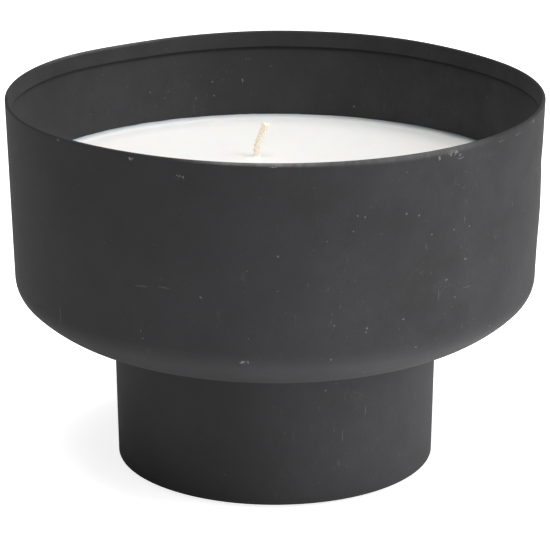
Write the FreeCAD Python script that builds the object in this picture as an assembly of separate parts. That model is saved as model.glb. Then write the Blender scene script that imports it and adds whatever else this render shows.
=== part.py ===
import FreeCAD, Part
import math
import os

# Footed candle bowl: a pressed steel bowl on a tube foot, filled with wax round three wicks.
# Millimetres, +Z up. The origin is the centre of the felt disc's underside, which the bowl stands on.

# Bowl
RIM_RADIUS = 75.0         # outside of the folded rim
RIM_HEIGHT = 105.4        # crest of the rim above the foot's lower edge
SHEET = 0.55              # steel sheet of the bowl
WALL_TAPER = 1.684        # degrees that the wall leans in towards its lower end
HEM_DEPTH = 4.8           # from the crest down to the cut edge of the hem
HEM_GAP = 0.1             # between the wall and the layer folded down inside it
KNUCKLE_RADIUS = 8.1      # outside radius of the bend under the wall
KNUCKLE_RISE = 15.94      # centre of that bend above the bowl's underside

# Foot
FOOT_HEIGHT = 38.5        # lower edge of the foot to the bowl's underside
FOOT_RADIUS = 45.1        # outside of the foot at its lower edge
FOOT_TAPER = 1.05         # degrees that the foot widens upwards
FOOT_WALL = 1.2
SEAT_MARGIN = 0.9         # flat of the bowl's underside outside the foot
WELD_LEG = 2.2
BEAD_FULLNESS = 0.6       # a bead's face bulges this share of its leg out from the corner
PLATE_THICKNESS = 1.2
PLATE_RECESS = 2.0        # underside of the base plate above the foot's lower edge
TACK_LEG = 1.4
TACK_SPAN = 9.0           # degrees of the circle under each tack weld
TACK_COUNT = 6
FELT_THICKNESS = 3.0
FELT_GAP = 3.4            # between the felt's edge and the inside of the foot

# Wax
WAX_DROP = 27.0           # crest of the rim down to the flat wax
MENISCUS_HEIGHT = 1.4
MENISCUS_WIDTH = 4.0

# Wicks, each standing in a tab that is stuck to the bowl's floor
WICK_RADIUS = 1.1
WICK_CIRCLE = 30.5        # from the bowl's axis to each wick
WICK_STAND = 10.2         # wick above the wax
WICK_STRAIGHT = 1.6       # of that, before it bends over
WICK_LEAN = 21.0          # degrees from upright after the bend
WICK_BEND_RADIUS = 7.0
TAB_RADIUS = 9.0
TAB_THICKNESS = 0.3
NECK_WALL = 0.6
NECK_HEIGHT = 5.0
STICKER_RADIUS = 8.0
STICKER_THICKNESS = 1.0
# name: (degrees round the bowl, degrees towards which it leans)
WICKS = {"back": (100.0, 0.0), "front_left": (220.0, 205.0), "front_right": (340.0, 290.0)}

# Levels and radii that follow from the sizes above
FOOT_EDGE = FELT_THICKNESS - PLATE_RECESS
UNDERSIDE = FOOT_EDGE + FOOT_HEIGHT
FLOOR = UNDERSIDE + SHEET
CREST = FOOT_EDGE + RIM_HEIGHT
WAX_LEVEL = CREST - WAX_DROP
FOLD_RADIUS = SHEET + HEM_GAP / 2

UP = FreeCAD.Vector(0, 0, 1)


def at(radius, height):
    """A point of a profile, in the plane through the axis."""
    return FreeCAD.Vector(radius, 0, height)


def outline(*steps):
    """The closed face through the points given. A step that is a pair is an arc: its middle and its end."""
    edges = []
    here = steps[0]
    for step in steps[1:] + (steps[0],):
        if isinstance(step, tuple):
            middle, end = step
            edges.append(Part.Arc(here, middle, end).toShape())
        else:
            end = step
            edges.append(Part.LineSegment(here, end).toShape())
        here = end
    return Part.Face(Part.Wire(edges))


def turned(face, degrees=360.0):
    """The solid that a profile sweeps when it turns about the vertical axis."""
    return face.revolve(FreeCAD.Vector(0, 0, 0), UP, degrees)


def on_circle(centre, radius, degrees):
    """The point of a circle in the profile's plane, at an angle above the horizontal."""
    angle = math.radians(degrees)
    return centre + at(radius * math.cos(angle), radius * math.sin(angle))


def foot_outside(height):
    """Outer radius of the foot at a height, which the taper widens upwards."""
    return FOOT_RADIUS + (height - FOOT_EDGE) * math.tan(math.radians(FOOT_TAPER))


def foot_inside(height):
    return foot_outside(height) - FOOT_WALL


def fold_centre():
    return at(RIM_RADIUS - FOLD_RADIUS, CREST - FOLD_RADIUS)


def knuckle_centre():
    """The knuckle is tangent to the wall, so its centre lies the knuckle's radius inside the tapered wall."""
    height = UNDERSIDE + KNUCKLE_RISE
    fold = fold_centre()
    taper = math.radians(WALL_TAPER)
    across = (KNUCKLE_RADIUS - FOLD_RADIUS) / math.cos(taper)
    return at(fold.x - across - (fold.z - height) * math.tan(taper), height)


def crown_radius():
    """The crown runs tangent from the flat underside into the knuckle.

    Its centre is its own radius above the underside.
    From there to the knuckle's centre is the difference of the two radii.
    """
    across = knuckle_centre().x - seat_radius()
    return (across ** 2 + KNUCKLE_RISE ** 2 - KNUCKLE_RADIUS ** 2) / (2 * (KNUCKLE_RISE - KNUCKLE_RADIUS))


def seat_radius():
    """Where the flat underside ends and the crown begins."""
    return foot_outside(UNDERSIDE) + SEAT_MARGIN


def bowl_surface(depth):
    """The bowl's skin as points and arcs, at a depth inside its outer surface.

    From the middle outwards: the flat, the crown's arc, the knuckle's arc, then the wall up to the fold.
    """
    crown = at(seat_radius(), UNDERSIDE + crown_radius())
    knuckle = knuckle_centre()
    meeting = math.degrees(math.atan2(knuckle.z - crown.z, knuckle.x - crown.x))
    crown_reach = crown_radius() - depth
    knuckle_reach = KNUCKLE_RADIUS - depth
    return [
        at(0, UNDERSIDE + depth),
        at(seat_radius(), UNDERSIDE + depth),
        (on_circle(crown, crown_reach, (meeting - 90) / 2), on_circle(crown, crown_reach, meeting)),
        (on_circle(knuckle, knuckle_reach, (meeting - WALL_TAPER) / 2),
         on_circle(knuckle, knuckle_reach, -WALL_TAPER)),
        on_circle(fold_centre(), FOLD_RADIUS - depth, -WALL_TAPER),
    ]


def backwards(steps):
    """The same run of points and arcs, walked from its far end."""
    ends = [step[1] if isinstance(step, tuple) else step for step in steps]
    run = [ends[-1]]
    for here, step in zip(reversed(ends[:-1]), reversed(steps[1:])):
        run.append((step[0], here) if isinstance(step, tuple) else here)
    return run


def bowl():
    """Sheet of one thickness, with its upper edge folded inward and down beside the wall."""
    fold = fold_centre()
    taper = math.radians(WALL_TAPER)
    down = at(-math.sin(taper), -math.cos(taper)) * (HEM_DEPTH - FOLD_RADIUS)
    inner = FOLD_RADIUS - SHEET
    crest = 90 - WALL_TAPER
    inside_of_hem = on_circle(fold, FOLD_RADIUS, 180 - WALL_TAPER)
    slot_side_of_hem = on_circle(fold, inner, 180 - WALL_TAPER)
    hem = [
        (on_circle(fold, FOLD_RADIUS, crest), inside_of_hem),
        inside_of_hem + down,
        slot_side_of_hem + down,
        slot_side_of_hem,
        (on_circle(fold, inner, crest), on_circle(fold, inner, -WALL_TAPER)),
    ]
    inside = backwards(bowl_surface(SHEET))
    return turned(outline(*bowl_surface(0), *hem, *inside[1:]))


def foot_tube():
    return turned(outline(
        at(foot_inside(FOOT_EDGE), FOOT_EDGE),
        at(foot_outside(FOOT_EDGE), FOOT_EDGE),
        at(foot_outside(UNDERSIDE), UNDERSIDE),
        at(foot_inside(UNDERSIDE), UNDERSIDE),
    ))


def fillet_bead(height, leg, degrees=360.0):
    """A bead of weld in the corner under a horizontal face, against the inside of the foot."""
    corner = foot_inside(height)
    low = foot_inside(height - leg)
    swell = leg * BEAD_FULLNESS
    bulge = at((corner + low) / 2 - swell, height - swell)
    face = outline(at(corner, height), at(corner - leg, height), (bulge, at(low, height - leg)))
    return turned(face, degrees)


def foot_weld():
    return fillet_bead(UNDERSIDE, WELD_LEG)


def base_plate():
    """Its edge has the foot's taper, so that it seats against the tube all round."""
    top = FELT_THICKNESS + PLATE_THICKNESS
    return turned(outline(
        at(0, FELT_THICKNESS),
        at(foot_inside(FELT_THICKNESS), FELT_THICKNESS),
        at(foot_inside(top), top),
        at(0, top),
    ))


def plate_tack_welds():
    tacks = []
    for number in range(TACK_COUNT):
        tack = fillet_bead(FELT_THICKNESS, TACK_LEG, TACK_SPAN)
        tack.rotate(FreeCAD.Vector(0, 0, 0), UP, number * 360 / TACK_COUNT)
        tacks.append(tack)
    return Part.makeCompound(tacks)


def felt_disc():
    return Part.makeCylinder(foot_inside(FOOT_EDGE) - FELT_GAP, FELT_THICKNESS)


def spot(name):
    """The place of a wick on the bowl's floor."""
    angle = math.radians(WICKS[name][0])
    return FreeCAD.Vector(WICK_CIRCLE * math.cos(angle), WICK_CIRCLE * math.sin(angle), FLOOR)


def wick_sticker(name):
    return Part.makeCylinder(STICKER_RADIUS, STICKER_THICKNESS, spot(name))


def wick_tab(name):
    """Pressed disc with a neck that the wick is crimped into."""
    base = STICKER_THICKNESS
    neck = WICK_RADIUS + NECK_WALL
    tab = turned(outline(
        at(WICK_RADIUS, base),
        at(TAB_RADIUS, base),
        at(TAB_RADIUS, base + TAB_THICKNESS),
        at(neck, base + TAB_THICKNESS),
        at(neck, base + NECK_HEIGHT),
        at(WICK_RADIUS, base + NECK_HEIGHT),
    ))
    tab.translate(spot(name))
    return tab


def wick(name):
    """Upright from the tab through the wax, then bent over and leaning to one side."""
    lean = math.radians(WICK_LEAN)
    foot = spot(name) + UP * STICKER_THICKNESS
    bend = FreeCAD.Vector(foot.x, foot.y, WAX_LEVEL + WICK_STRAIGHT)
    side = FreeCAD.Rotation(UP, WICKS[name][1]).multVec(FreeCAD.Vector(1, 0, 0))

    def along_bend(angle):
        reach = side * (1 - math.cos(angle)) + UP * math.sin(angle)
        return bend + reach * WICK_BEND_RADIUS

    straightened = along_bend(lean)
    rise = WAX_LEVEL + WICK_STAND - straightened.z
    tip = straightened + side * rise * math.tan(lean) + UP * rise
    path = Part.Wire([
        Part.LineSegment(foot, bend).toShape(),
        Part.Arc(bend, along_bend(lean / 2), straightened).toShape(),
        Part.LineSegment(straightened, tip).toShape(),
    ])
    section = Part.Wire(Part.makeCircle(WICK_RADIUS, foot, UP))
    return path.makePipeShell([section], True, False)


def meniscus():
    """From the bowl's wall down to the flat wax: an arc that meets the flat without a corner."""
    taper = math.tan(math.radians(WALL_TAPER))
    wall = bowl_surface(SHEET)[-1]
    top = WAX_LEVEL + MENISCUS_HEIGHT
    edge = at(wall.x - (wall.z - top) * taper, top)
    flat = at(edge.x - MENISCUS_WIDTH, WAX_LEVEL)
    radius = (MENISCUS_WIDTH ** 2 + MENISCUS_HEIGHT ** 2) / (2 * MENISCUS_HEIGHT)
    half_turn = math.degrees(math.atan2(MENISCUS_HEIGHT, MENISCUS_WIDTH))
    return edge, (on_circle(flat + UP * radius, radius, half_turn - 90), flat)


def wax(pieces_inside):
    """Poured wax fills the bowl up to its level, round everything that stands in it."""
    edge, curve = meniscus()
    poured = turned(outline(*bowl_surface(SHEET)[:-1], edge, curve, at(0, WAX_LEVEL)))
    return poured.cut(pieces_inside)


def save(node, shape):
    shape.exportStep("parts/" + node + ".step")
    print(node, "solids:", len(shape.Solids), "volume cm3:", round(shape.Volume / 1000, 3))


os.makedirs("parts", exist_ok=True)
set_in_wax = {}
for wick_name in WICKS:
    set_in_wax["wick_" + wick_name] = wick(wick_name)
    set_in_wax["wick_tab_" + wick_name] = wick_tab(wick_name)
    set_in_wax["wick_sticker_" + wick_name] = wick_sticker(wick_name)
nodes = {
    "bowl": bowl(),
    "foot_tube": foot_tube(),
    "foot_weld": foot_weld(),
    "base_plate": base_plate(),
    "plate_tack_welds": plate_tack_welds(),
    "felt_disc": felt_disc(),
    "wax": wax(list(set_in_wax.values())),
    **set_in_wax,
}
for node_name, node_shape in nodes.items():
    save(node_name, node_shape)
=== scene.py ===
# %% [markdown]
# # A footed candle bowl
# The object is a pressed steel bowl on a short tube foot, powder-coated matte black and filled with white wax
# round three cotton wicks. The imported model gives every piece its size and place. This lesson dresses it:
# each visible piece is made again as a smooth surface, worked out with numpy in the same frame, and each
# finish is built of nodes.

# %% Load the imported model
import math
import bpy
import numpy as np
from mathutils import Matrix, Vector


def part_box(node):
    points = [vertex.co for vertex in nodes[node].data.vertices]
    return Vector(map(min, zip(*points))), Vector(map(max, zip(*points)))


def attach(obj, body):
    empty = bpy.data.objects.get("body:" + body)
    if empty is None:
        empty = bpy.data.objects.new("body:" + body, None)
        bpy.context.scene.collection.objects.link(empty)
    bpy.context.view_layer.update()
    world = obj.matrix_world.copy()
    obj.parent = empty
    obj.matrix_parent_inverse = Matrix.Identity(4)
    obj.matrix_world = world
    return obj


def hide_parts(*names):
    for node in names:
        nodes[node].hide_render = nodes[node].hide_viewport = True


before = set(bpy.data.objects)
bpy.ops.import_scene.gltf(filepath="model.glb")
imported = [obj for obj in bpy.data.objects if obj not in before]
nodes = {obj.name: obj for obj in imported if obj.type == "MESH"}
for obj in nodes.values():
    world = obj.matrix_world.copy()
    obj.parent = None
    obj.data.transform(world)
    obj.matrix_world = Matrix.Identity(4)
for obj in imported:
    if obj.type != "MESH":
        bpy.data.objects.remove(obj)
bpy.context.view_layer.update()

MM = 0.001

# %% [markdown]
# ## Sizes
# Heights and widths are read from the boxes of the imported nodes. The few bends that a box can't tell are
# named here: the wall's taper, the two bends under it, and the hem, which is the rim's edge folded down
# inside the wall.

# %% Sizes of the vessel
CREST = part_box("bowl")[1].z
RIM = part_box("bowl")[1].x
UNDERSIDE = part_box("bowl")[0].z
FOOT_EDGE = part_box("foot_tube")[0].z
FOOT_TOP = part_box("foot_tube")[1].x
SHEET = 0.55 * MM
WALL_TAPER = 1.684
HEM_DEPTH = 4.8 * MM
HEM_GAP = 0.1 * MM
KNUCKLE = 8.1 * MM
KNUCKLE_RISE = 15.94 * MM
SEAT_MARGIN = 0.9 * MM
FOLD = SHEET + HEM_GAP / 2
FOOT_TAPER = 1.05
FOOT_WALL = 1.2 * MM
CUT_EDGE = 0.2 * MM
PLATE_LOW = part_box("base_plate")[0].z
PLATE_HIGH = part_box("base_plate")[1].z
print("crest", round(CREST / MM, 2), "rim", round(RIM / MM, 2), "underside", round(UNDERSIDE / MM, 2), "mm")

# %% [markdown]
# ## Profiles
# Everything here was turned, spun or poured round one axis, so a piece is a profile carried round a circle. A
# profile is an array of (radius, height) pairs made of lines and arcs. Short runs with few points stay
# straight, and bends get many, which is what makes the highlight along the rim and the knuckle run without
# corners.

# %% Lines, arcs and joined runs
def line(start, end, count):
    """Points spread evenly from start to end: start plus a share of the way, for shares from 0 to 1."""
    share = np.linspace(0, 1, count)[:, None]
    return np.array(start) * (1 - share) + np.array(end) * share


def arc(centre, radius, start, end, count):
    """Points on a circle: centre plus radius times (cosine, sine) of angles from start to end, in degrees."""
    angle = np.radians(np.linspace(start, end, count))
    return np.array(centre) + radius * np.column_stack([np.cos(angle), np.sin(angle)])


def joined(*runs):
    """Runs one after another as one profile, without the points that two neighbours share."""
    points = np.concatenate(runs)
    step = np.linalg.norm(np.diff(points, axis=0), axis=1)
    return points[np.concatenate([[True], step > 1e-7])]


# %% [markdown]
# ## From grid to mesh
# A surface is a grid of points, rows along the profile and columns round the axis. The faces are quads
# between neighbours, worked out with index arithmetic. Where a profile starts or ends on the axis its whole
# row is one point, and a fan of triangles closes the pole. A last test takes the volume that the faces
# enclose: if it is negative, the faces look inwards and are turned round.

# %% Grids, poles and meshes
def grid_faces(rows, columns, closed_rows=False):
    """Vertex numbers of the quads of a grid whose columns always wrap round, and whose rows do if asked."""
    row = np.arange(rows if closed_rows else rows - 1)[:, None]
    column = np.arange(columns)[None, :]
    after, beside = (row + 1) % rows, (column + 1) % columns
    around = ((row, column), (row, beside), (after, beside), (after, column))
    corners = [one_row * columns + one_column for one_row, one_column in around]
    return np.stack(np.broadcast_arrays(*corners), axis=-1).reshape(-1, 4)


def enclosed(points, quads):
    """Volume inside the faces: each quad gives two triangles, each triangle a sixth of a triple product."""
    a, b, c, d = (points[quads[:, corner]] for corner in range(4))
    return float(np.einsum("ij,ij->", a, np.cross(b, c) + np.cross(c, d)) / 6)


def surface(points, closed_rows=False):
    """A closed skin as (points, quads): rows that have shrunk to the axis are welded to one point."""
    rows, columns, _ = points.shape
    quads = grid_faces(rows, columns, closed_rows)
    number = np.arange(rows * columns).reshape(rows, columns)
    for end in () if closed_rows else (0, rows - 1):
        number[end] = number[end, 0]
    quads = number.reshape(-1)[quads]
    used, compact = np.unique(quads, return_inverse=True)
    flat, quads = points.reshape(-1, 3)[used], compact.reshape(quads.shape)
    return flat, quads if enclosed(flat, quads) > 0 else quads[:, ::-1]


def make_mesh(name, skins):
    """One smooth mesh object from a list of (points, quads), without the corners that a pole has doubled."""
    offset, points, faces = 0, [], []
    for skin_points, quads in skins:
        points.append(skin_points)
        faces.append(quads + offset)
        offset += len(skin_points)
    faces = [list(dict.fromkeys(face)) for face in np.concatenate(faces).tolist()]
    mesh = bpy.data.meshes.new(name)
    mesh.from_pydata(np.concatenate(points).tolist(), [], faces)
    mesh.polygons.foreach_set("use_smooth", np.ones(len(mesh.polygons), dtype=bool))
    mesh.update()
    made = bpy.data.objects.new(name, mesh)
    bpy.context.scene.collection.objects.link(made)
    print(name, "faces:", len(mesh.polygons))
    return made


def evenly(columns):
    """Angles all round, a full turn shared out over the columns."""
    return np.linspace(0, 2 * np.pi, columns, endpoint=False)


def carried_round(profile, angles, shift=None):
    """Grid of a profile turned about the upright axis: (radius cos a, radius sin a, height) for each angle a.

    shift(angle, radius, height) may return changes of radius and height.
    """
    angle = angles[None, :]
    radius, height = np.broadcast_arrays(profile[:, :1], profile[:, 1:] + 0 * angle)
    if shift:
        further, higher = shift(angle + 0 * radius, radius, height)
        radius, height = radius + further, height + higher
    return np.stack([radius * np.cos(angle), radius * np.sin(angle), height], axis=-1)


# %% [markdown]
# ## The bowl
# A disc of thin sheet was drawn into a bowl, and its edge was folded in and down as a hem. The knuckle under
# the wall is a small arc tangent to the wall, and the crown is a wide arc tangent to it and to the flat
# underside. The crown's radius follows from those tangents. Sheet drawn by a press is never quite round, so
# slow waves of a few tenths of a millimetre run round the wall, strongest at the rim and gone at the knuckle.
# A subdivided cage could give the same shape, but the exact arcs keep the sheet's thickness true. Each point
# also carries its level, the height it had before the rim rose and fell, as an attribute, so that the crest's
# wear and painted highlight and the painted shadow under the hem can follow the rim wherever it goes.

# %% The bowl's skin at any depth
def leaned(degrees_from_wall):
    """A direction measured from the wall's own outward one, which the taper tips down."""
    return degrees_from_wall - WALL_TAPER


def direction(degrees):
    """The unit vector (cosine, sine) of an angle in degrees."""
    return np.array([math.cos(math.radians(degrees)), math.sin(math.radians(degrees))])


def bowl_bends():
    """Centres of fold, knuckle and crown, the crown's radius, and the direction where the last two meet.

    Each arc is tangent to its neighbours. The crown's radius comes from Pythagoras on the line that joins the
    knuckle's centre to the crown's.
    """
    taper = math.radians(WALL_TAPER)
    fold = np.array([RIM - FOLD, CREST - FOLD])
    height = UNDERSIDE + KNUCKLE_RISE
    across = (KNUCKLE - FOLD) / math.cos(taper) + (fold[1] - height) * math.tan(taper)
    knuckle = np.array([fold[0] - across, height])
    seat = FOOT_TOP + SEAT_MARGIN
    reach = knuckle[0] - seat
    crown_radius = (reach ** 2 + KNUCKLE_RISE ** 2 - KNUCKLE ** 2) / (2 * (KNUCKLE_RISE - KNUCKLE))
    crown = np.array([seat, UNDERSIDE + crown_radius])
    meeting = math.degrees(math.atan2(knuckle[1] - crown[1], knuckle[0] - crown[0]))
    return fold, knuckle, crown, crown_radius, meeting


fold_at, knuckle_at, crown_at, CROWN, MEETING = bowl_bends()


def bowl_side(depth):
    """The bowl's skin at a depth inside its outer face: out along the bottom, then up to the fold."""
    crown = arc(crown_at, CROWN - depth, -90, MEETING, 30)
    knuckle = arc(knuckle_at, KNUCKLE - depth, MEETING, leaned(0), 20)
    top = fold_at + (FOLD - depth) * direction(leaned(0))
    return joined(line((0, UNDERSIDE + depth), crown[0], 24), crown, knuckle, line(knuckle[-1], top, 36))


# %% How far the press left it from round
# Waves in one round, size in mm, direction in degrees
ROUND_WAVES = ((2, 0.14, 79), (3, 0.08, 73), (5, 0.05, 10), (9, 0.02, 140))
# Direction and reach in degrees, height in mm
RIM_RISES = (
    (90, 70, -0.05), (92, 9, 0.12), (72, 24, 0.30), (38, 18, -0.26), (127, 15, -0.42),
    (160, 20, 0.14), (234, 22, 0.30), (270, 60, 0.30),
)
# Direction in degrees, height in mm, reach round in degrees, reach up in mm, how far out in mm
DENTS = ((-6, 75, 22, 8, 0.27), (-6, 89, 15, 3, -0.14), (248, 66, 16, 9, -0.10), (128, 70, 14, 8, -0.12))


def gone_at_knuckle(height):
    """From 0 at the knuckle's height to 1 at the rim, easing in and out."""
    share = np.clip((height - knuckle_at[1]) / (CREST - knuckle_at[1]), 0, 1)
    return share * share * (3 - 2 * share)


def degrees_from(angle, turn):
    """How far an angle in radians is from a direction in degrees, the short way round."""
    return np.degrees(np.angle(np.exp(1j * (angle - math.radians(turn)))))


def waves(angle, table):
    """Sum of cosines round the axis, each with its own count, size and direction."""
    return sum(size * np.cos(count * angle - math.radians(turn)) for count, size, turn in table)


def pressed(angle, radius, height):
    """Waves round the wall plus bell-shaped dents and swellings, and a rim with low bell-shaped rises."""
    free = gone_at_knuckle(height)
    further = free * waves(angle, ROUND_WAVES)
    for turn, level, wide, tall, deep in DENTS:
        off = degrees_from(angle, turn)
        further = further + deep * np.exp(-(off / wide) ** 2 - ((height / MM - level) / tall) ** 2)
    rises = sum(size * np.exp(-(degrees_from(angle, turn) / wide) ** 2) for turn, wide, size in RIM_RISES)
    higher = free * rises
    beside_axis = np.clip(radius / (0.5 * RIM), 0, 1)
    return further * MM * beside_axis, higher * MM * beside_axis


# %% Build the bowl
def bowl_profile():
    """Up the outer skin, over the fold, down the hem, round its edge, up its slot and down the inner skin."""
    down = direction(leaned(270))
    over = arc(fold_at, FOLD, leaned(0), leaned(180), 26)
    under = arc(fold_at, FOLD - SHEET, leaned(180), leaned(0), 8)
    length = HEM_DEPTH - FOLD
    hem_face = line(over[-1], over[-1] + down * (length - CUT_EDGE), 8)
    slot_face = line(under[0] + down * (length - CUT_EDGE), under[0], 8)
    inward = (under[0] - over[-1]) / SHEET
    edge_in = arc(hem_face[-1] + inward * CUT_EDGE, CUT_EDGE, leaned(180), leaned(270), 6)
    edge_out = arc(slot_face[0] - inward * CUT_EDGE, CUT_EDGE, leaned(270), leaned(360), 6)
    inside = bowl_side(SHEET)[::-1]
    return joined(bowl_side(0), over, hem_face, edge_in, edge_out, slot_face, under, inside)


def placed(piece, node):
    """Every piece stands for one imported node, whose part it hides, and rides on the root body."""
    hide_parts(node)
    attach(piece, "root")
    return piece


BOWL_COLUMNS = 320
profile = bowl_profile()
bowl = make_mesh("coated_bowl", [surface(carried_round(profile, evenly(BOWL_COLUMNS), pressed))])
levels = np.concatenate([profile[:1, 1], np.repeat(profile[1:-1, 1], BOWL_COLUMNS), profile[-1:, 1]])
bowl.data.attributes.new("level", "FLOAT", "POINT").data.foreach_set("value", levels)
placed(bowl, "bowl")

# %% [markdown]
# ## The foot and what closes it
# The foot is a short tube, a little wider at the top than at its lower edge, with a crisp cut edge below. A
# steel disc sits just inside that edge, held by six short tacks, and a felt disc under it carries the bowl. A
# tube's profile is a closed loop, so its grid wraps both ways and has no poles.

# %% Foot tube and base plate
FOOT_WAVES = ((2, 0.06, 35), (3, 0.04, 100), (7, 0.015, 10))


def foot_outside(height):
    """Radius of the foot's outer face: the top radius less the taper's share of the way down."""
    return FOOT_TOP - (UNDERSIDE - height) * math.tan(math.radians(FOOT_TAPER))


def foot_inside(height):
    """Radius of the foot's inner face: the outer one less the wall."""
    return foot_outside(height) - FOOT_WALL


def rolled(angle, radius, height):
    """Slow waves that the tube keeps from rolling, fading to nothing where it meets the bowl."""
    free = np.clip((UNDERSIDE - height) / (UNDERSIDE - FOOT_EDGE), 0, 1)
    return waves(angle, FOOT_WAVES) * MM * free, 0 * height


def foot_profile():
    """Up the outside, in under the bowl, down the inside and round the softened corners of the lower edge."""
    out_low, in_low = foot_outside(FOOT_EDGE), foot_inside(FOOT_EDGE)
    corner_out = arc((out_low - CUT_EDGE, FOOT_EDGE + CUT_EDGE), CUT_EDGE, -90, 0, 6)
    corner_in = arc((in_low + CUT_EDGE, FOOT_EDGE + CUT_EDGE), CUT_EDGE, 180, 270, 6)
    return joined(
        corner_out,
        line(corner_out[-1], (FOOT_TOP, UNDERSIDE), 34),
        line((FOOT_TOP, UNDERSIDE), (foot_inside(UNDERSIDE), UNDERSIDE), 3),
        line((foot_inside(UNDERSIDE), UNDERSIDE), corner_in[0], 34),
        corner_in,
    )


def plate_profile():
    """A disc whose edge leans with the foot's taper."""
    low, high = foot_inside(PLATE_LOW), foot_inside(PLATE_HIGH)
    return joined(
        line((0, PLATE_LOW), (low, PLATE_LOW), 20),
        line((low, PLATE_LOW), (high, PLATE_HIGH), 3),
        line((high, PLATE_HIGH), (0, PLATE_HIGH), 12),
    )


foot_skin = surface(carried_round(foot_profile(), evenly(256), rolled), closed_rows=True)
foot = placed(make_mesh("coated_foot", [foot_skin]), "foot_tube")
plate_skin = surface(carried_round(plate_profile(), evenly(192)))
plate = placed(make_mesh("coated_base_plate", [plate_skin]), "base_plate")

# %% [markdown]
# ### Welds
# A weld is a row of overlapping drops, so its bead swells and narrows once per drop. The ring inside the foot
# is a tube bent into a circle. Each tack is a short bead that starts and ends in a point, sunk in the corner
# between plate and tube. Both are the same function: a circle of changing radius carried along an arc.

# %% Beads of weld
DROP = 1.3 * MM
RIPPLE = 0.09
TACK_SPAN = 9.0
TACK_COUNT = 6
# How far a bead's centre is sunk in its corner, and how thick the bead is, as shares of its leg
RING_SUNK, RING_THICK = 0.30, 0.52
TACK_SUNK, TACK_THICK = 0.25, 0.62


def bead(radius, height, thick, start, span, rows, tapered):
    """A tube round an arc: thickness times (1 + a small ripple per drop), closed to points if tapered."""
    share = np.linspace(0, 1, rows, endpoint=tapered)[:, None]
    turn = np.radians(start + span * share)
    ripple = 1 + RIPPLE * np.abs(np.sin(np.pi * share * math.radians(span) * radius / DROP))
    ends = np.sqrt(np.clip(np.sin(np.pi * share), 0, 1)) if tapered else 1
    round_it = evenly(16)[None, :]
    reach = radius + thick * ends * ripple * np.cos(round_it)
    rise = height + thick * ends * ripple * np.sin(round_it)
    return np.stack([reach * np.cos(turn), reach * np.sin(turn), rise], axis=-1)


def leg(node):
    """How tall a packed weld is."""
    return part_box(node)[1].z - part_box(node)[0].z


def corner_at(level, sunk):
    """Radius and height of a point sunk in the corner between the foot and the sheet above it."""
    return foot_inside(level) - sunk, level - sunk


ring_at = corner_at(UNDERSIDE, RING_SUNK * leg("foot_weld"))
ring = surface(bead(*ring_at, RING_THICK * leg("foot_weld"), 0, 360, 1100, False), closed_rows=True)
weld = placed(make_mesh("foot_weld_bead", [ring]), "foot_weld")
tack_at = corner_at(PLATE_LOW, TACK_SUNK * leg("plate_tack_welds"))
tack_thick = TACK_THICK * leg("plate_tack_welds")
tack_turns = [number * 360 / TACK_COUNT for number in range(TACK_COUNT)]
tack_skins = [surface(bead(*tack_at, tack_thick, turn, TACK_SPAN, 40, True)) for turn in tack_turns]
tacks = placed(make_mesh("base_tack_welds", tack_skins), "plate_tack_welds")

# %% [markdown]
# ### Felt
# The disc is punched from pressed felt, so its faces are flat but lumpy and its edge is soft. The lumps are a
# sum of plane waves in seeded directions, a cheap stand-in for noise that a whole array can take at once.

# %% Felt disc
FELT_EDGE = 0.5 * MM
FELT_LUMPS = 0.05 * MM
felt_radius, felt_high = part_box("felt_disc")[1].x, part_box("felt_disc")[1].z


def lumps(x, y, length, seed, count=14):
    """Sum of cosines of plane waves of about the given length, in seeded directions, from about -1 to 1."""
    draw = np.random.default_rng(seed)
    turn, phase = draw.uniform(0, 2 * np.pi, (2, count))
    pace = 2 * np.pi / (length * draw.uniform(0.7, 1.5, count))
    swells = [np.cos(p * (x * math.cos(t) + y * math.sin(t)) + f) for p, t, f in zip(pace, turn, phase)]
    return sum(swells) / math.sqrt(count)


def felted(angle, radius, height):
    """Lumps that move the outer edge in and out, and lift the lower face."""
    x, y = radius * np.cos(angle), radius * np.sin(angle)
    rough = FELT_LUMPS * (lumps(x, y, 1.6 * MM, 5) + 0.6 * lumps(x, y, 0.8 * MM, 6))
    at_edge = np.clip((radius - 0.96 * felt_radius) / (0.04 * felt_radius), 0, 1)
    return rough * at_edge, np.abs(rough) * (1 - at_edge) * (height < FELT_EDGE)


felt_profile = joined(
    line((0, 0), (felt_radius - FELT_EDGE, 0), 90),
    arc((felt_radius - FELT_EDGE, FELT_EDGE), FELT_EDGE, -90, 0, 6),
    line((felt_radius, FELT_EDGE), (felt_radius, felt_high), 6),
    line((felt_radius, felt_high), (0, felt_high), 10),
)
felt_skin = surface(carried_round(felt_profile, evenly(320), felted))
felt = placed(make_mesh("punched_felt", [felt_skin]), "felt_disc")

# %% [markdown]
# ## The wax
# Wax is poured hot and sets from the walls inwards. It stays up where it wets steel and cotton, so it ends in
# a meniscus: a thin curve up the wall, with a ragged edge that is widest to the far right, and a small collar
# round each wick. A flat disc would meet the wall in a hard line. So the top is a grid of rings that crowd
# where the surface bends, at the wall and over the wick circle, and its columns crowd round the wicks in the
# same way.

# %% Where the wicks stand
# Direction from the axis, and the direction in which the tip leans, both in degrees
WICKS = {"back": (100.0, 0.0), "front_left": (220.0, 205.0), "front_right": (340.0, 290.0)}
WICK_CIRCLE = 30.5 * MM
WICK = 1.1 * MM
WAX_LEVEL = CREST - 27.0 * MM
MENISCUS_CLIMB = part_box("wax")[1].z - WAX_LEVEL


def wick_place(name):
    """Where a wick stands on the wick circle, as (x, y)."""
    return WICK_CIRCLE * direction(WICKS[name][0])


def crowded(places, width, coarse, fine, end):
    """Positions from 0 to end whose spacing falls from coarse to fine near the places given."""
    at = [0.0]
    while at[-1] < end:
        near = max(math.exp(-((at[-1] - place) / width) ** 2) for place in places)
        at.append(at[-1] + coarse + (fine - coarse) * near)
    return np.array(at) * end / at[-1]


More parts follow.
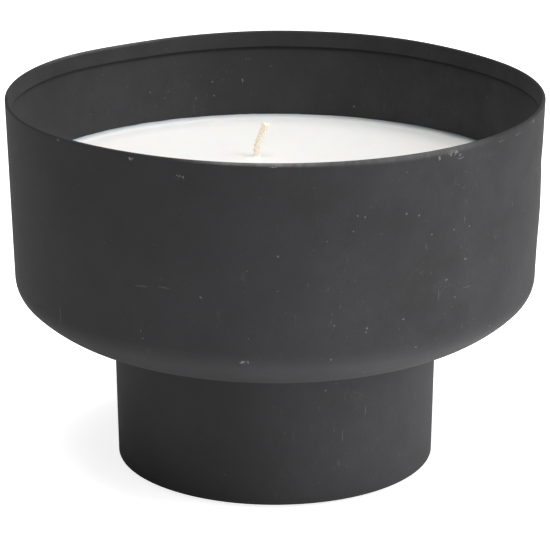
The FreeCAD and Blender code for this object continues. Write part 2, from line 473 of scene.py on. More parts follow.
# %% The wax's top
# How wide the meniscus is, and the direction in degrees where it is widest
WALL_BAND = 2.4 * MM
WIDEST_AT = 38
# A collar round each wick and a shallow dish round that, and how far from the wall the swells begin
COLLAR, COLLAR_WIDE = 0.45 * MM, 0.55 * MM
DISH, DISH_WIDE = 0.10 * MM, 6 * MM
CALM_WIDE = 12 * MM
# Size and length of a swell in mm, and the seed of its directions
SWELLS = ((0.04, 26, 21), (0.010, 7, 22))
# Size of a ragged wave, its length as a share of the radius, and its seed
RAGGED = ((0.5, 0.16, 11), (0.3, 0.05, 12))


def meniscus(from_wall, climb, wide):
    """Height above the flat wax: the share of the way to the wall, cubed, which leaves the flat gently."""
    into = np.clip(1 - from_wall / wide, 0, 1)
    return climb * into ** 3


def wax_top(columns_at):
    """Rings from the wall inwards: height is the level plus meniscus, collars round the wicks and swells."""
    contact = bowl_side(SHEET)[-1]
    lean = math.tan(math.radians(WALL_TAPER))
    wall = contact[0] - (contact[1] - WAX_LEVEL - MENISCUS_CLIMB) * lean
    bends_at = (0, 0.4 * MM, wall - WICK_CIRCLE)
    rings = crowded(bends_at, width=3.0 * MM, coarse=1.5 * MM, fine=0.2 * MM, end=wall)[:, None]
    angle = columns_at[None, :] + 0 * rings
    far_right = np.clip(np.cos(angle - math.radians(WIDEST_AT)), 0, 1) ** 2
    ragged = sum(lumps(np.cos(angle), np.sin(angle), length, seed) * size for size, length, seed in RAGGED)
    wide = WALL_BAND * (1 + 0.8 * far_right + (0.08 + 0.22 * far_right) * ragged)
    climb = MENISCUS_CLIMB * (1 - 0.14 * far_right + 0.05 * ragged)
    at_wall = wall + (climb - MENISCUS_CLIMB) * lean
    radius = at_wall - rings * at_wall / wall
    further, _ = pressed(angle, radius, WAX_LEVEL + 0 * radius)
    radius = radius + further * radius / wall
    x, y = radius * np.cos(angle), radius * np.sin(angle)
    height = WAX_LEVEL + meniscus(rings, climb, wide)
    for name in WICKS:
        wick_x, wick_y = wick_place(name)
        away = np.clip(np.hypot(x - wick_x, y - wick_y) - WICK, 0, None)
        height = height + COLLAR * np.exp(-away / COLLAR_WIDE) - DISH * np.exp(-(away / DISH_WIDE) ** 2)
    calm = np.clip(rings / CALM_WIDE, 0, 1) ** 2
    height = height + calm * MM * sum(size * lumps(x, y, length * MM, seed) for size, length, seed in SWELLS)
    return np.stack([x, y, height], axis=-1)


# %% The wax's underside and the whole piece
def pressed_aside(angle, radius, height):
    """The bowl's waves and dents without the rises of its rim."""
    return pressed(angle, radius, height)[0], 0 * height


def wax_underside(columns_at):
    """The bowl's inner skin again, up to just under the wax's level."""
    side = bowl_side(SHEET)
    return carried_round(side[side[:, 1] < WAX_LEVEL - 0.5 * MM], columns_at, pressed_aside)


wick_turns = sorted(math.radians(turn) for turn, _ in WICKS.values())
step_round = {"width": math.radians(6), "coarse": math.radians(1.0), "fine": math.radians(0.35)}
columns_at = crowded(wick_turns, **step_round, end=2 * math.pi)[:-1]
wax_skin = surface(np.concatenate([wax_underside(columns_at), wax_top(columns_at)]))
wax = placed(make_mesh("poured_wax", [wax_skin]), "wax")

# %% [markdown]
# ## The wicks
# A candle wick is braided: strands of cotton yarn wind round a core, half of them one way and half the other,
# passing over and under each other, and the whole is dipped in wax. A bumpy tube would do from far off, but
# close up a braid shows in the outline. So each strand is a tube on a helix whose distance from the core
# swings in and out, so that crossing strands weave. The helix follows the wick's own line: straight up
# through the wax, then over in a short bend. A thick core fills the gaps, as the wax does. At the cut end the
# strands spread, and loose fibres stand out.

# %% A wick's own line
WICK_STRAIGHT = 1.6 * MM
WICK_BEND = 7.0 * MM
WICK_LEAN = math.radians(21.0)


def wick_line(name, share):
    """Points along a wick, two directions across it and the length so far. Shares run from tab to tip.

    The line is upright, then an arc, then straight on in the arc's last direction.
    """
    x, y = wick_place(name)
    low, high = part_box("wick_" + name)[0].z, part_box("wick_" + name)[1].z
    bend_at = WAX_LEVEL + WICK_STRAIGHT
    rise = high - WICK * math.sin(WICK_LEAN) - bend_at - WICK_BEND * math.sin(WICK_LEAN)
    lengths = (bend_at - low, WICK_BEND * WICK_LEAN, rise / math.cos(WICK_LEAN))
    along = share * sum(lengths)
    turned = np.clip((along - lengths[0]) / WICK_BEND, 0, WICK_LEAN)
    beyond = np.clip(along - lengths[0] - lengths[1], 0, None)
    aside = WICK_BEND * (1 - np.cos(turned)) + beyond * math.sin(WICK_LEAN)
    level = low + np.clip(along, 0, lengths[0]) + WICK_BEND * np.sin(turned) + beyond * math.cos(WICK_LEAN)
    side = np.append(direction(WICKS[name][1]), 0)
    across = np.array([-side[1], side[0], 0])
    centre = np.stack([x + aside * side[0], y + aside * side[1], level], axis=-1)
    normal = np.cos(turned)[:, None] * side - np.sin(turned)[:, None] * np.array([0, 0, 1])
    return centre, normal, across + 0 * normal, along


# %% Strands, core and loose fibres
# Strands and their radius, how far they weave in and out, how far they spread at the tip, and the core
STRANDS = 8
STRAND = 0.32 * MM
WEAVE = 0.09 * MM
FRAY = 0.32 * MM
CORE = 0.84 * MM
HAIR = 0.028 * MM
HAIRS = 26
BRAID_PITCH = 5.2 * MM


def tube(centres, radii, sides):
    """A round skin about a line of points: each ring lies across the line, and both ends close to a point."""
    ahead = np.gradient(centres, axis=0)
    ahead /= np.linalg.norm(ahead, axis=1, keepdims=True)
    first = np.cross(ahead, np.array([0.31, 0.95, 0.05]))
    first /= np.linalg.norm(first, axis=1, keepdims=True)
    second = np.cross(ahead, first)
    turn = evenly(sides)[None, :, None]
    ring = np.cos(turn) * first[:, None] + np.sin(turn) * second[:, None]
    return centres[:, None] + radii[:, None, None] * ring


def rounded_ends(share):
    """1 along most of a yarn, and the root of the steps from its end over the last step or so."""
    return np.clip(np.minimum(share, share[-1] - share) * len(share) / 1.2, 0.02, 1) ** 0.5


def strand(name, number):
    """A helix about the wick's line that swings in and out once per crossing and spreads near the cut end."""
    share = np.linspace(0, 1 - 0.012 * (number * 5 % 7) / 7, 230)
    centre, normal, across, along = wick_line(name, share)
    way = 1 if number % 2 else -1
    start = 2 * np.pi * (number // 2) / (STRANDS / 2)
    turn = way * 2 * np.pi * along / BRAID_PITCH + start
    weave = way * np.cos(2 * np.pi * along / BRAID_PITCH * STRANDS / 2)
    spread = FRAY * np.clip((share - 0.94) / 0.06, 0, 1) ** 1.5
    out = WICK - 1.25 * STRAND + WEAVE * weave + spread
    centres = centre + out[:, None] * (np.cos(turn)[:, None] * normal + np.sin(turn)[:, None] * across)
    return surface(tube(centres, STRAND * rounded_ends(share), 8))


def core(name):
    """A plain tube on the wick's line that ends just short of the strands."""
    share = np.linspace(0, 1, 120)
    centre, _, _, _ = wick_line(name, share * 0.997)
    return surface(tube(centre, CORE * rounded_ends(share), 16))


def fibres(name, count, seed):
    """Short bent hairs near the tip: each leaves the braid outwards and curls by a seeded amount."""
    draw = np.random.default_rng(seed)
    centre, normal, across, _ = wick_line(name, draw.uniform(0.955, 0.998, count))
    skins = []
    step = np.linspace(0, 1, 7)[:, None]
    thin_ends = np.array([0.3, 1, 1, 1, 1, 0.8, 0.1])
    for place, side, over in zip(centre, normal, across):
        turn = draw.uniform(0, 2 * np.pi)
        reach, curl = draw.uniform(0.35, 1.1) * MM, draw.uniform(-0.5, 0.7) * MM
        out = math.cos(turn) * side + math.sin(turn) * over
        rise = (reach * 0.7 * step + curl * step ** 2) * np.array([0, 0, 1])
        hair = place + out * (0.6 * WICK + reach * 0.55 * step) + rise
        skins.append(surface(tube(hair, HAIR * thin_ends, 5)))
    return skins


wicks = []
for index, name in enumerate(WICKS):
    strands = [strand(name, number) for number in range(STRANDS)]
    skins = [core(name)] + strands + fibres(name, HAIRS, 40 + index)
    wicks.append(placed(make_mesh("braided_wick_" + name, skins), "wick_" + name))

# %% [markdown]
# ## Shader maths as Python
# A finish is a tree of nodes. Written node by node it hides its own idea, so a small class wraps a socket:
# plus, minus, times and so on between wrapped sockets add the Math nodes. One method adds any other node. Its
# settings come first, because they decide which sockets the node has, and then the values and links of those
# sockets.

# %% Signals and finishes
class Signal:
    """A socket that can stand in a sum."""

    def __init__(self, finish, socket):
        self.finish, self.socket = finish, socket

    def maths(self, operation, *others):
        """A Math node on this socket and the others."""
        inputs = dict(enumerate((self,) + others))
        return self.finish.add("Math", {"operation": operation}, inputs)

    def __add__(self, other):
        return self.maths("ADD", other)

    def __sub__(self, other):
        return self.maths("SUBTRACT", other)

    def __rsub__(self, other):
        return self.finish.add("Math", {"operation": "SUBTRACT"}, {0: other, 1: self})

    def __mul__(self, other):
        return self.maths("MULTIPLY", other)

    def __truediv__(self, other):
        return self.maths("DIVIDE", other)

    __radd__, __rmul__ = __add__, __mul__

    def over(self, low, high):
        """0 below low, 1 above high, with a soft step between. Low above high turns the step round."""
        return self.finish.add("MapRange", {"interpolation_type": "SMOOTHSTEP"},
                               {"Value": self, "From Min": low, "From Max": high})

    def highest(self, other):
        """The larger of the two at each point."""
        return self.maths("MAXIMUM", other)


class Finish:
    """A material with one Principled shader, whose constants are set on its own sockets."""

    def __init__(self, name, **constants):
        self.material = bpy.data.materials.new(name)
        self.material.use_nodes = True
        self.tree = self.material.node_tree
        self.shader = self.tree.nodes["Principled BSDF"]
        for words, value in constants.items():
            self.shader.inputs[words.replace("_", " ")].default_value = value
        self.place = self.add("TexCoord", {}, {}, "Object")
        self.facing = self.add("TexCoord", {}, {}, "Normal")

    def add(self, kind, settings, inputs, output=0):
        """A node of that kind: its settings, its sockets' values or links, and the output to go on with."""
        node = self.tree.nodes.new("ShaderNode" + kind)
        for setting, value in settings.items():
            setattr(node, setting, value)
        for key, value in inputs.items():
            if isinstance(value, Signal):
                self.tree.links.new(value.socket, node.inputs[key])
            else:
                node.inputs[key].default_value = value
        return Signal(self, node.outputs[output])

    def feed(self, **inputs):
        """Signals linked to the shader's own sockets, by name."""
        for words, signal in inputs.items():
            self.tree.links.new(signal.socket, self.shader.inputs[words.replace("_", " ")])

    def stretched(self, across=1.0, along=1.0, up=1.0, shift=0.0):
        """Places scaled along X, Y and Z, so that a scale under 1 draws a pattern out, and shifted."""
        return self.add("Mapping", {}, {
            "Vector": self.place, "Scale": (across, along, up), "Location": (shift, shift, shift)})

    def noise(self, size, detail=2.0, roughness=0.5, place=None, shift=0.0):
        """Soft noise whose blotches are about the given size in metres, from 0 to 1."""
        at = place or self.stretched(shift=shift)
        return self.add("TexNoise", {"noise_dimensions": "3D"},
                        {"Vector": at, "Scale": 0.5 / size, "Detail": detail, "Roughness": roughness})

    def grains(self, size, output="Distance"):
        """Cells of about the given size: the distance to the nearest centre, or a cell's own colour."""
        return self.add("TexVoronoi", {"feature": "F1"}, {"Vector": self.place, "Scale": 1.0 / size}, output)

    def blend(self, share, start, end):
        """Two colours mixed by a share from 0 to 1, each one a signal or (red, green, blue)."""
        start, end = (colour if isinstance(colour, Signal) else (*colour, 1) for colour in (start, end))
        return self.add("Mix", {"data_type": "RGBA", "blend_type": "MIX"}, {0: share, 6: start, 7: end}, 2)

    def vectors(self, operation, one, other, output=0):
        """Vector Math on two vectors, either of them a signal or (x, y, z)."""
        return self.add("VectorMath", {"operation": operation}, {0: one, 1: other}, output)

    def relief(self, height, depth, under=None):
        """A bump, on another if given: height is a signal from 0 to 1, depth the metres that 1 stands for."""
        inputs = {"Height": height, "Distance": depth, "Strength": 1.0}
        if under:
            inputs["Normal"] = under
        return self.add("Bump", {}, inputs)

    def part(self, axis, vector=None):
        """One coordinate of a vector: X, Y or Z."""
        return self.add("SeparateXYZ", {}, {"Vector": vector or self.place}, axis)


def dressed(finish, *objects):
    """Each object gets the finish as its only material."""
    for thing in objects:
        thing.data.materials.clear()
        thing.data.materials.append(finish.material)
    print(finish.material.name, "nodes:", len(finish.tree.nodes), "on", [thing.name for thing in objects])


# %% [markdown]
# ## Matte black coating
# The steel is powder-coated: a dry powder melts into a skin with a fine sandy grain that scatters light, so
# the black reads as a soft dark grey. A painted texture wrapped round the bowl would do, but noise needs no
# seam. The grain, the clouds and the pale dust are noises and cells cut off at a threshold. Dust, scuffs and
# mottling are painted stronger on the faces that the key light reaches, the outer right and the inner left,
# as that light would show them. Marks that handling left are ovals with shaken outlines: chips and rubbed
# patches that a finer noise shreds, thin scratches, and single specks. Most of their places were worked out
# beforehand from where they are seen, and rounded; the rest were set one by one. The crest is painted pale
# along its outer
# half, near and far: partly wear, partly a painted highlight on its rounded edge. The wall just under the
# hem's lower edge gets a painted shadow, the shade that the hem casts there.

# %% Where the bowl was knocked and scratched
# Each mark: direction in degrees, then height, half width and half height in mm
CHIPPED = (
    (-52, 105.2, 2.3, 0.9), (-50, 103.6, 1.2, 0.9), (-55.5, 104.5, 0.4, 0.8), (-37, 104.6, 1.5, 0.3),
    (-30, 104.4, 1.8, 0.25), (-109, 102, 1.6, 0.9), (-119.5, 105.3, 0.9, 0.5), (-96, 52.5, 1.8, 0.6),
    (41.5, 104.4, 0.6, 0.6), (-139, 106.0, 0.5, 0.4), (-90, 105.9, 1.6, 0.25), (-22, 105.2, 0.6, 0.6),
    (-8, 104.6, 0.7, 0.9), (158, 105.2, 0.6, 0.5), (96.5, 97.8, 1.2, 0.5), (97.7, 91.3, 0.3, 0.7),
    (109, 86.5, 0.7, 0.6), (106.5, 86.8, 0.3, 1.0), (152.8, 99.4, 0.4, 0.4),
)
RUBBED = (
    (-54, 69, 4.2, 3.2), (-47, 77, 3.6, 3.2), (-39, 72, 1.6, 2.4), (-37, 79, 2.6, 2.0), (-60, 74, 3.0, 2.2),
    (-42, 102, 4.5, 1.4), (-66, 47, 6.0, 1.2), (-62, 31, 5.0, 2.4), (101, 88.7, 2.4, 0.6),
    (113, 95.4, 1.4, 1.0), (138, 92.8, 2.0, 0.9), (134, 89.6, 1.2, 0.8), (102, 93, 5.0, 3.0),
    (-171, 94, 1.0, 5.0),
)
SCRATCHED = (
    (-54.5, 67, 0.14, 1.8), (-58, 81, 0.14, 1.0), (-46.5, 67, 1.6, 0.14), (-48, 86, 0.12, 1.4),
    (-141.5, 56.5, 0.2, 2.5), (-118, 71, 2.4, 0.16), (-113, 71.5, 2.0, 0.14), (-66, 20, 0.12, 2.2),
    (-57, 26, 0.12, 1.6),
)
# Each speck: direction in degrees, then height and radius in mm
SPECKS = (
    (-89.5, 82, 0.30), (-89.5, 72.5, 0.22), (-73.5, 92, 0.30), (-72, 91.5, 0.22), (-63, 91, 0.25),
    (-60, 90, 0.22), (-51, 84, 0.25), (-47.5, 75, 0.35), (-52.5, 70.5, 0.25), (-50, 65, 0.30),
    (-63, 62, 0.25), (-71, 61, 0.30), (-78, 62.5, 0.22), (-118.5, 58.5, 0.25), (-118, 56.5, 0.25),
    (-105, 70, 0.35), (-78.5, 53, 0.3), (-72.5, 34, 0.30), (91, 95.5, 0.30), (71, 84, 0.40),
    (116, 89.5, 0.30), (104.6, 86.9, 0.35), (105, 91.3, 0.35), (117, 87.7, 0.3),
)
CHIP, RUB, SCRATCH, SPECK = 0.45, 0.03, 0.12, 0.25


def wall_at(height):
    """Radius of the outer face at a height, on the bowl or on the foot."""
    side = bowl_side(0)
    return np.interp(height, side[:, 1], side[:, 0]) if height > UNDERSIDE else foot_outside(height)


def ovals(coat, marks, strength, under=None):
    """The strongest of many ovals on the wall: distance from a mark's centre, counted in half widths."""
    wobble = coat.add("TexNoise", {"noise_dimensions": "3D"},
                      {"Vector": coat.place, "Scale": 1.2 / MM, "Detail": 3.0}, 1)
    shift = coat.vectors("SUBTRACT", wobble, (0.5, 0.5, 0.5))
    shaken = coat.add("VectorMath", {"operation": "MULTIPLY_ADD"},
                      {0: shift, 1: (0.9 * MM, 0.9 * MM, 0.9 * MM), 2: coat.place})
    for turn, level, wide, tall in marks:
        local = coat.add("Mapping", {"vector_type": "TEXTURE"}, {
            "Vector": shaken, "Location": (*(wall_at(level * MM) * direction(turn)), level * MM),
            "Rotation": (0, 0, math.radians(turn)), "Scale": (1.2 * MM, wide * MM, tall * MM)})
        oval = coat.add("VectorMath", {"operation": "LENGTH"}, {0: local}, "Value").over(1.2, 0.5) * strength
        under = under.highest(oval) if under else oval
    return under


# %% Dust, handling and wear, each as a share of pale
def flecks(coat, size, edges, axis, rarity):
    """Dots at cell centres, kept only in cells whose own random colour passes a threshold on one axis."""
    luck = coat.part(axis, coat.grains(size, output="Color"))
    return coat.grains(size).over(*edges) * luck.over(*rarity)


def handled(coat):
    """The strongest of all placed marks: shredded chips and rubs, clean scratches and round specks."""
    shreds = coat.noise(0.45 * MM, 3.0, 0.75, shift=1.9).over(0.50, 0.60)
    worn = ovals(coat, CHIPPED, 1.0) * shreds * CHIP
    worn = worn.highest(ovals(coat, RUBBED, 1.0) * shreds * RUB)
    worn = ovals(coat, SCRATCHED, SCRATCH, worn)
    return ovals(coat, [(turn, level, size, size) for turn, level, size in SPECKS], SPECK, worn)


def crest_wear_and_highlight(level, x, y, outward, broken):
    """A pale band below the crest, wider to the right, on the near side's outer half and on the far side:
    part wear, part painted highlight.
    """
    band = x.over(-0.015, 0.050) * 1.1 * MM + 0.9 * MM
    near = ((x * 0.26 - y * 0.97) / RIM).over(0.80, 0.96)
    near = near * (x.over(0.018, 0.002) * 0.24 + 0.18) * outward.over(0, 0.03)
    far = ((y - x) * 0.707 / RIM).over(0.90, 0.98) * 0.16
    return ((level - CREST) / band + 1).over(0, 0.7) * broken * near.highest(far)


def painted_hem_shadow(level, inward):
    """A painted shadow: a dark line on the inner side just below the hem's cut edge, where the hem shades the
    wall.
    """
    slot = CREST - HEM_DEPTH
    below, above = level.over(slot - 1.4 * MM, slot - 0.5 * MM), level.over(slot + 0.2 * MM, slot - 0.1 * MM)
    return below * above * inward


# %% The coating
COAT = (0.0285, 0.0283, 0.0306)
CHALK_AND_CREST_HIGHLIGHT = (0.46, 0.46, 0.45)


def shade(colour, share):
    """A colour times a share."""
    return tuple(value * share for value in colour)


def matte_black_coating():
    """Black between two shades by a cloudy mask, darker in pits, with a painted shadow under the hem; chalky
    where it's worn, with a painted highlight along the crest.
    """
    coat = Finish("matte_black_coating", IOR=1.45, Specular_IOR_Level=0.42)
    x, y = coat.part("X"), coat.part("Y")
    level = coat.add("Attribute", {"attribute_name": "level"}, {}, "Fac")
    flat = coat.vectors("MULTIPLY", coat.place, (1, 1, 0))
    outward = coat.vectors("DOT_PRODUCT", coat.facing, flat, "Value")
    inward = outward.over(0, -0.01)
    # Faces that the key light reaches, the outer right and the inner left: the dust, scuffs and mottling are
    # painted stronger there, as that light would show them.
    key_lit_faces = (x.over(-0.03, 0.07) * 0.70 + 0.30).highest(inward * x.over(0.02, -0.04) * 0.75)

    clouds = coat.noise(22 * MM, 3.0, 0.55)
    blotch = coat.noise(7 * MM, 3.0, 0.55, shift=1.1)
    mottle = coat.noise(2.6 * MM, 4.0, 0.6, shift=0.3)
    sand = coat.noise(0.42 * MM, 3.0, 0.65, shift=0.7)
    streaks = coat.noise(0.7 * MM, 3.0, 0.7, place=coat.stretched(up=0.30))
    pits = coat.grains(0.75 * MM).over(0.34, 0.08)

    speck = flecks(coat, 3.4 * MM, (0.075, 0.035), "X", (0.76, 0.90)) * key_lit_faces * 0.38
    fine = flecks(coat, 1.5 * MM, (0.12, 0.05), "Y", (0.70, 0.96)) * key_lit_faces * 0.22
    scuff = streaks.over(0.62, 0.74) * clouds.over(0.40, 0.58) * key_lit_faces * 0.09
    # Wear and a painted highlight along the crest's rounded edge.
    edge = crest_wear_and_highlight(level, x, y, outward, streaks + mottle - 0.3)
    pale = speck.highest(fine).highest(scuff).highest(handled(coat)).highest(edge)

    uneven = (blotch - 0.5) * 1.8 + (mottle - 0.5) * 1.5 + (sand - 0.5) * 0.7
    cloudy = clouds.over(0.30, 0.70) * 0.45 + mottle * 0.25 + uneven * key_lit_faces + 0.15
    ground = coat.blend(cloudy, shade(COAT, 0.78), shade(COAT, 1.30))
    # Dark pits in the grain, and the painted shadow under the hem.
    deep = (pits * 0.30).highest(painted_hem_shadow(level, inward) * (streaks * 0.5 + 0.6))
    ground = coat.blend(deep, ground, shade(COAT, 0.2))
    coat.feed(Base_Color=coat.blend(pale, ground, CHALK_AND_CREST_HIGHLIGHT))
    coat.feed(Roughness=0.60 + mottle * 0.14 + sand * 0.10 + pale * 0.15)
    peel = coat.relief(mottle, 0.05 * MM)
    coat.feed(Normal=coat.relief(sand * 0.7 + (1 - pits) * 0.3, 0.045 * MM, peel))
    return coat


dressed(matte_black_coating(), bowl, foot, plate, tacks)

# %% [markdown]
# ## Wax
# Light goes a few millimetres into wax and comes out again beside where it went in, which takes the edge off
# every shadow. A white paint would look like plaster. Subsurface scattering does what wax does, with red
# going furthest. The top is satin, faintly mottled where the wax set in crystals. Where it thins on the steel
# the dark wall shows through: the meniscus first turns into a grey film, and at its top it is nearly bare
# steel. Both grow stronger to the right, and that extra darkening is painted shade, the shadow that the wall
# casts on the wax there. Both follow the height above the flat wax.

# %% Wax
GREY_FILM = (0.52, 0.55, 0.58)
BARE_WALL_AND_SHADE = (0.07, 0.07, 0.075)


def white_wax():
    """White, then grey film, then bare wall, by two soft steps of height beside the wall, both stronger to
    the right as painted shade.
    """
    wax_finish = Finish("white_wax", Subsurface_Weight=0.45, Subsurface_Radius=(1.0, 0.72, 0.5),
                        Subsurface_Scale=2.2 * MM, IOR=1.44, Specular_IOR_Level=0.4)
    clouds = wax_finish.noise(16 * MM, 3.0, 0.5)
    crystals = wax_finish.noise(1.6 * MM, 4.0, 0.6, shift=0.4)
    across, height = wax_finish.part("X"), wax_finish.part("Z")
    flat = wax_finish.vectors("MULTIPLY", wax_finish.place, (1, 1, 0))
    out = wax_finish.add("VectorMath", {"operation": "LENGTH"}, {0: flat}, "Value")
    beside_wall = out.over(RIM - 10 * MM, RIM - 6 * MM)
    # The film and the bare wall grow stronger to the right: that part is painted shade from the wall.
    painted_shade_right = across.over(0.005, 0.060)
    film = height.over(WAX_LEVEL, WAX_LEVEL + 0.95 * MM) * (painted_shade_right * 0.38 + 0.55) * beside_wall
    bare = height.over(WAX_LEVEL + 0.35 * MM, WAX_LEVEL + 1.25 * MM) * (painted_shade_right * 0.66 + 0.20) * beside_wall
    mottled = clouds.over(0.3, 0.7) * 0.6 + crystals * 0.4
    white = wax_finish.blend(mottled, (0.955, 0.935, 0.89), (0.975, 0.96, 0.925))
    filmed = wax_finish.blend(film, white, GREY_FILM)
    wax_finish.feed(Base_Color=wax_finish.blend(bare, filmed, BARE_WALL_AND_SHADE))
    wax_finish.feed(Roughness=0.34 + crystals * 0.16)
    wax_finish.feed(Normal=wax_finish.relief(crystals, 0.02 * MM, wax_finish.relief(clouds, 0.12 * MM)))
    return wax_finish


dressed(white_wax(), wax)

# %% [markdown]
# ## Cotton dipped in wax
# Raw cotton is cream. Dipping fills the gaps between strands with wax, which lightens the tops, leaves the
# crossings a warmer brown and gives a dull shine. Light also passes up through the wax below and through the
# thin wick itself. Scattering alone loses most of that in so small a piece, so a low warm glow stands for it.

# %% Waxed cotton
def waxed_cotton():
    """Cream between two tones by the yarn's own noise, with the glow's colour following the same noise."""
    cotton = Finish("waxed_cotton", Subsurface_Weight=0.6, Subsurface_Radius=(1.0, 0.8, 0.55),
                    Subsurface_Scale=1.2 * MM, Sheen_Weight=0.05, Emission_Strength=0.19)
    yarn = cotton.noise(0.10 * MM, 3.0, 0.6, place=cotton.stretched(up=0.35))
    blotch = cotton.noise(1.2 * MM, 2.0)
    tone = cotton.blend(yarn * 0.6 + blotch * 0.4, (0.80, 0.72, 0.59), (0.90, 0.86, 0.78))
    cotton.feed(Base_Color=tone)
    cotton.feed(Emission_Color=cotton.blend(yarn, (0.98, 0.84, 0.66), (1.0, 0.92, 0.80)))
    cotton.feed(Roughness=0.48 + yarn * 0.25)
    cotton.feed(Normal=cotton.relief(yarn, 0.02 * MM))
    return cotton


dressed(waxed_cotton(), *wicks)

# %% [markdown]
# ## Felt, tinplate, adhesive pads and raw weld
# None of these shows from the side, but the object may be turned over or taken apart. Felt is a mat of
# fibres, drawn here as two stretched noises that cross. Tinplate has a fine grain from rolling. The pads are
# foam with open cells. The weld keeps the grey of cooled steel with a straw and blue tint along each drop.
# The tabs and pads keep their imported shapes, so here they only get a finish.

# %% The hidden finishes
def pressed_felt():
    """Near black, lighter along the fibres, with a little pale lint."""
    mat = Finish("pressed_felt", Sheen_Weight=0.4, Sheen_Roughness=0.6, Specular_IOR_Level=0.2)
    one = mat.noise(0.30 * MM, 4.0, 0.7, place=mat.stretched(along=0.22))
    other = mat.noise(0.30 * MM, 4.0, 0.7, place=mat.stretched(across=0.22))
    lint = mat.noise(0.25 * MM, 3.0, 0.8, shift=2.0).over(0.70, 0.78)
    both = one.highest(other)
    tone = mat.blend(both, (0.010, 0.010, 0.011), (0.050, 0.050, 0.053))
    mat.feed(Base_Color=mat.blend(lint * 0.5, tone, (0.22, 0.22, 0.22)))
    mat.feed(Roughness=0.86 + both * 0.12)
    mat.feed(Normal=mat.relief(both, 0.25 * MM))
    return mat


def rolled_tinplate():
    """Bright metal with a grain drawn out along X, and crystals of slightly different greys."""
    tin = Finish("rolled_tinplate", Metallic=1.0, Anisotropic=0.3)
    grain = tin.noise(0.20 * MM, 3.0, 0.6, place=tin.stretched(across=0.06))
    spangle = tin.part("X", tin.grains(2.4 * MM, output="Color"))
    tin.feed(Base_Color=tin.blend(spangle * 0.5 + grain * 0.5, (0.50, 0.50, 0.49), (0.72, 0.72, 0.70)))
    tin.feed(Roughness=0.22 + grain * 0.22)
    tin.feed(Normal=tin.relief(grain, 0.01 * MM))
    return tin


def foam_pad():
    """Off-white cells, darker at their centres."""
    foam = Finish("foam_pad", Specular_IOR_Level=0.3)
    cells = foam.grains(0.5 * MM)
    foam.feed(Base_Color=foam.blend(cells, (0.60, 0.59, 0.55), (0.86, 0.86, 0.82)))
    foam.feed(Roughness=0.7 + cells * 0.2)
    foam.feed(Normal=foam.relief(cells, 0.12 * MM))
    return foam


def raw_weld():
    """Steel tinted from straw to blue by a slow noise, with dark scale over it."""
    steel = Finish("raw_weld", Metallic=1.0)
    heat = steel.noise(3 * MM, 2.0)
    scale = steel.noise(0.5 * MM, 4.0, 0.7, shift=0.5)
    tone = steel.blend(heat.over(0.35, 0.65), (0.30, 0.25, 0.19), (0.20, 0.22, 0.27))
    steel.feed(Base_Color=steel.blend(scale.over(0.5, 0.7) * 0.6, tone, (0.06, 0.06, 0.065)))
    steel.feed(Roughness=0.35 + scale * 0.35)
    steel.feed(Normal=steel.relief(scale, 0.05 * MM))
    return steel


dressed(pressed_felt(), felt)
dressed(rolled_tinplate(), *(nodes["wick_tab_" + name] for name in WICKS))
dressed(foam_pad(), *(nodes["wick_sticker_" + name] for name in WICKS))
dressed(raw_weld(), weld)

# %% [markdown]
# ## Stage, light and camera
# The bowl stands on a wide white floor. Four soft boxes light it: a large one overhead, a key high on the
# right, a low one on the right for the wall, and a weak one at the front right, with a dim room all round.
# The floor glows, because lamps alone can't make it white without burning out the wax. A camera ray sees it
# bright and even. What bounces onto the bowl is dim, except from a patch near the front of the foot, which
# puts the band of light on the crown. The camera is a long lens far away, a little above the rim, which keeps
# the ellipses of rim and foot nearly alike.

# %% Floor
FLOOR_RADII = (0.0, 0.3, 1.0, 3.0, 9.0)
FLOOR_COLUMNS = 96
FLOOR_SEEN = (0.84, 0.84, 0.84)
FLOOR_DIM, FLOOR_BRIGHT = (0.15, 0.15, 0.15), (0.92, 0.92, 0.92)
PATCH_AT = (0.12, -0.09, 0)
floor_rings = carried_round(np.array([(radius, 0.0) for radius in FLOOR_RADII]), evenly(FLOOR_COLUMNS))
floor_quads = grid_faces(len(FLOOR_RADII), FLOOR_COLUMNS)
floor = make_mesh("floor", [(floor_rings.reshape(-1, 3), floor_quads)])
pale = Finish("pale_floor", Specular_IOR_Level=0.2, Emission_Strength=1.0)
pale.feed(Base_Color=pale.blend(pale.noise(0.2), FLOOR_BRIGHT, (0.94, 0.94, 0.94)))
patch = pale.vectors("DISTANCE", pale.place, PATCH_AT, "Value").over(0.17, 0.06)
bounced = pale.blend(patch, FLOOR_DIM, FLOOR_BRIGHT)
seen = pale.add("LightPath", {}, {}, "Is Camera Ray")
pale.feed(Emission_Color=pale.blend(seen, bounced, FLOOR_SEEN))
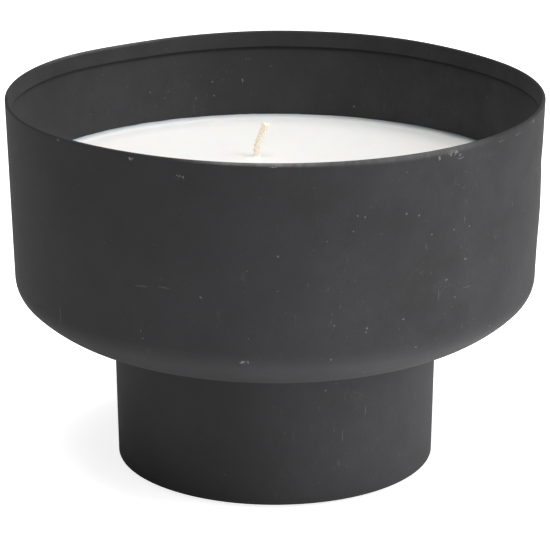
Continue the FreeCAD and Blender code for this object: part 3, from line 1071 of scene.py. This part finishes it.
pale.feed(Roughness=0.8 + pale.noise(0.05) * 0.1)
dressed(pale, floor)

# %% Lights
# Name, place and side in metres, power in watts
SOFTBOXES = (
    ("overhead", (0.05, -0.08, 1.3), 1.1, 15.3),
    ("key_right", (1.0, -0.35, 0.92), 0.8, 6.7),
    ("low_right", (1.3, -0.1, 0.33), 0.7, 4.4),
    ("front_right", (0.9, -1.1, 0.5), 0.7, 2.6),
)
ROOM = 0.08


def softbox(name, place, size, power, aim):
    """A square area light at a place, turned towards the point it is aimed at."""
    lamp = bpy.data.lights.new(name, "AREA")
    lamp.shape, lamp.size, lamp.energy = "SQUARE", size, power
    holder = bpy.data.objects.new(name, lamp)
    bpy.context.scene.collection.objects.link(holder)
    way = np.array(aim) - np.array(place)
    away, turn = math.hypot(way[0], way[1]), math.atan2(way[1], way[0])
    holder.location = place
    holder.rotation_euler = (math.atan2(away, -way[2]), 0, turn - math.pi / 2)


for row in SOFTBOXES:
    softbox(*row, aim=(0, 0, CREST / 2))
world = bpy.data.worlds.new("room")
bpy.context.scene.world = world
world.use_nodes = True
world.node_tree.nodes["Background"].inputs["Color"].default_value = (1, 1, 1, 1)
world.node_tree.nodes["Background"].inputs["Strength"].default_value = ROOM
print("soft boxes:", [row[0] for row in SOFTBOXES])

# %% Camera
PITCH = math.radians(18.04)
LENS, SENSOR = 183.0, 36.0
DISTANCE = 10.593 * RIM
AIM = FOOT_EDGE + 0.6905 * RIM
camera_data = bpy.data.cameras.new("camera")
camera_data.lens, camera_data.sensor_width = LENS, SENSOR
camera_data.clip_start, camera_data.clip_end = 0.01, 60.0
camera = bpy.data.objects.new("camera", camera_data)
bpy.context.scene.collection.objects.link(camera)
camera.location = (0, -DISTANCE * math.cos(PITCH), AIM + DISTANCE * math.sin(PITCH))
camera.rotation_euler = (math.pi / 2 - PITCH, 0, 0)
bpy.context.scene.camera = camera
bpy.context.scene.view_settings.view_transform = "Standard"
print("camera", round(DISTANCE, 3), "m away, aimed", round(AIM / MM, 1), "mm up")
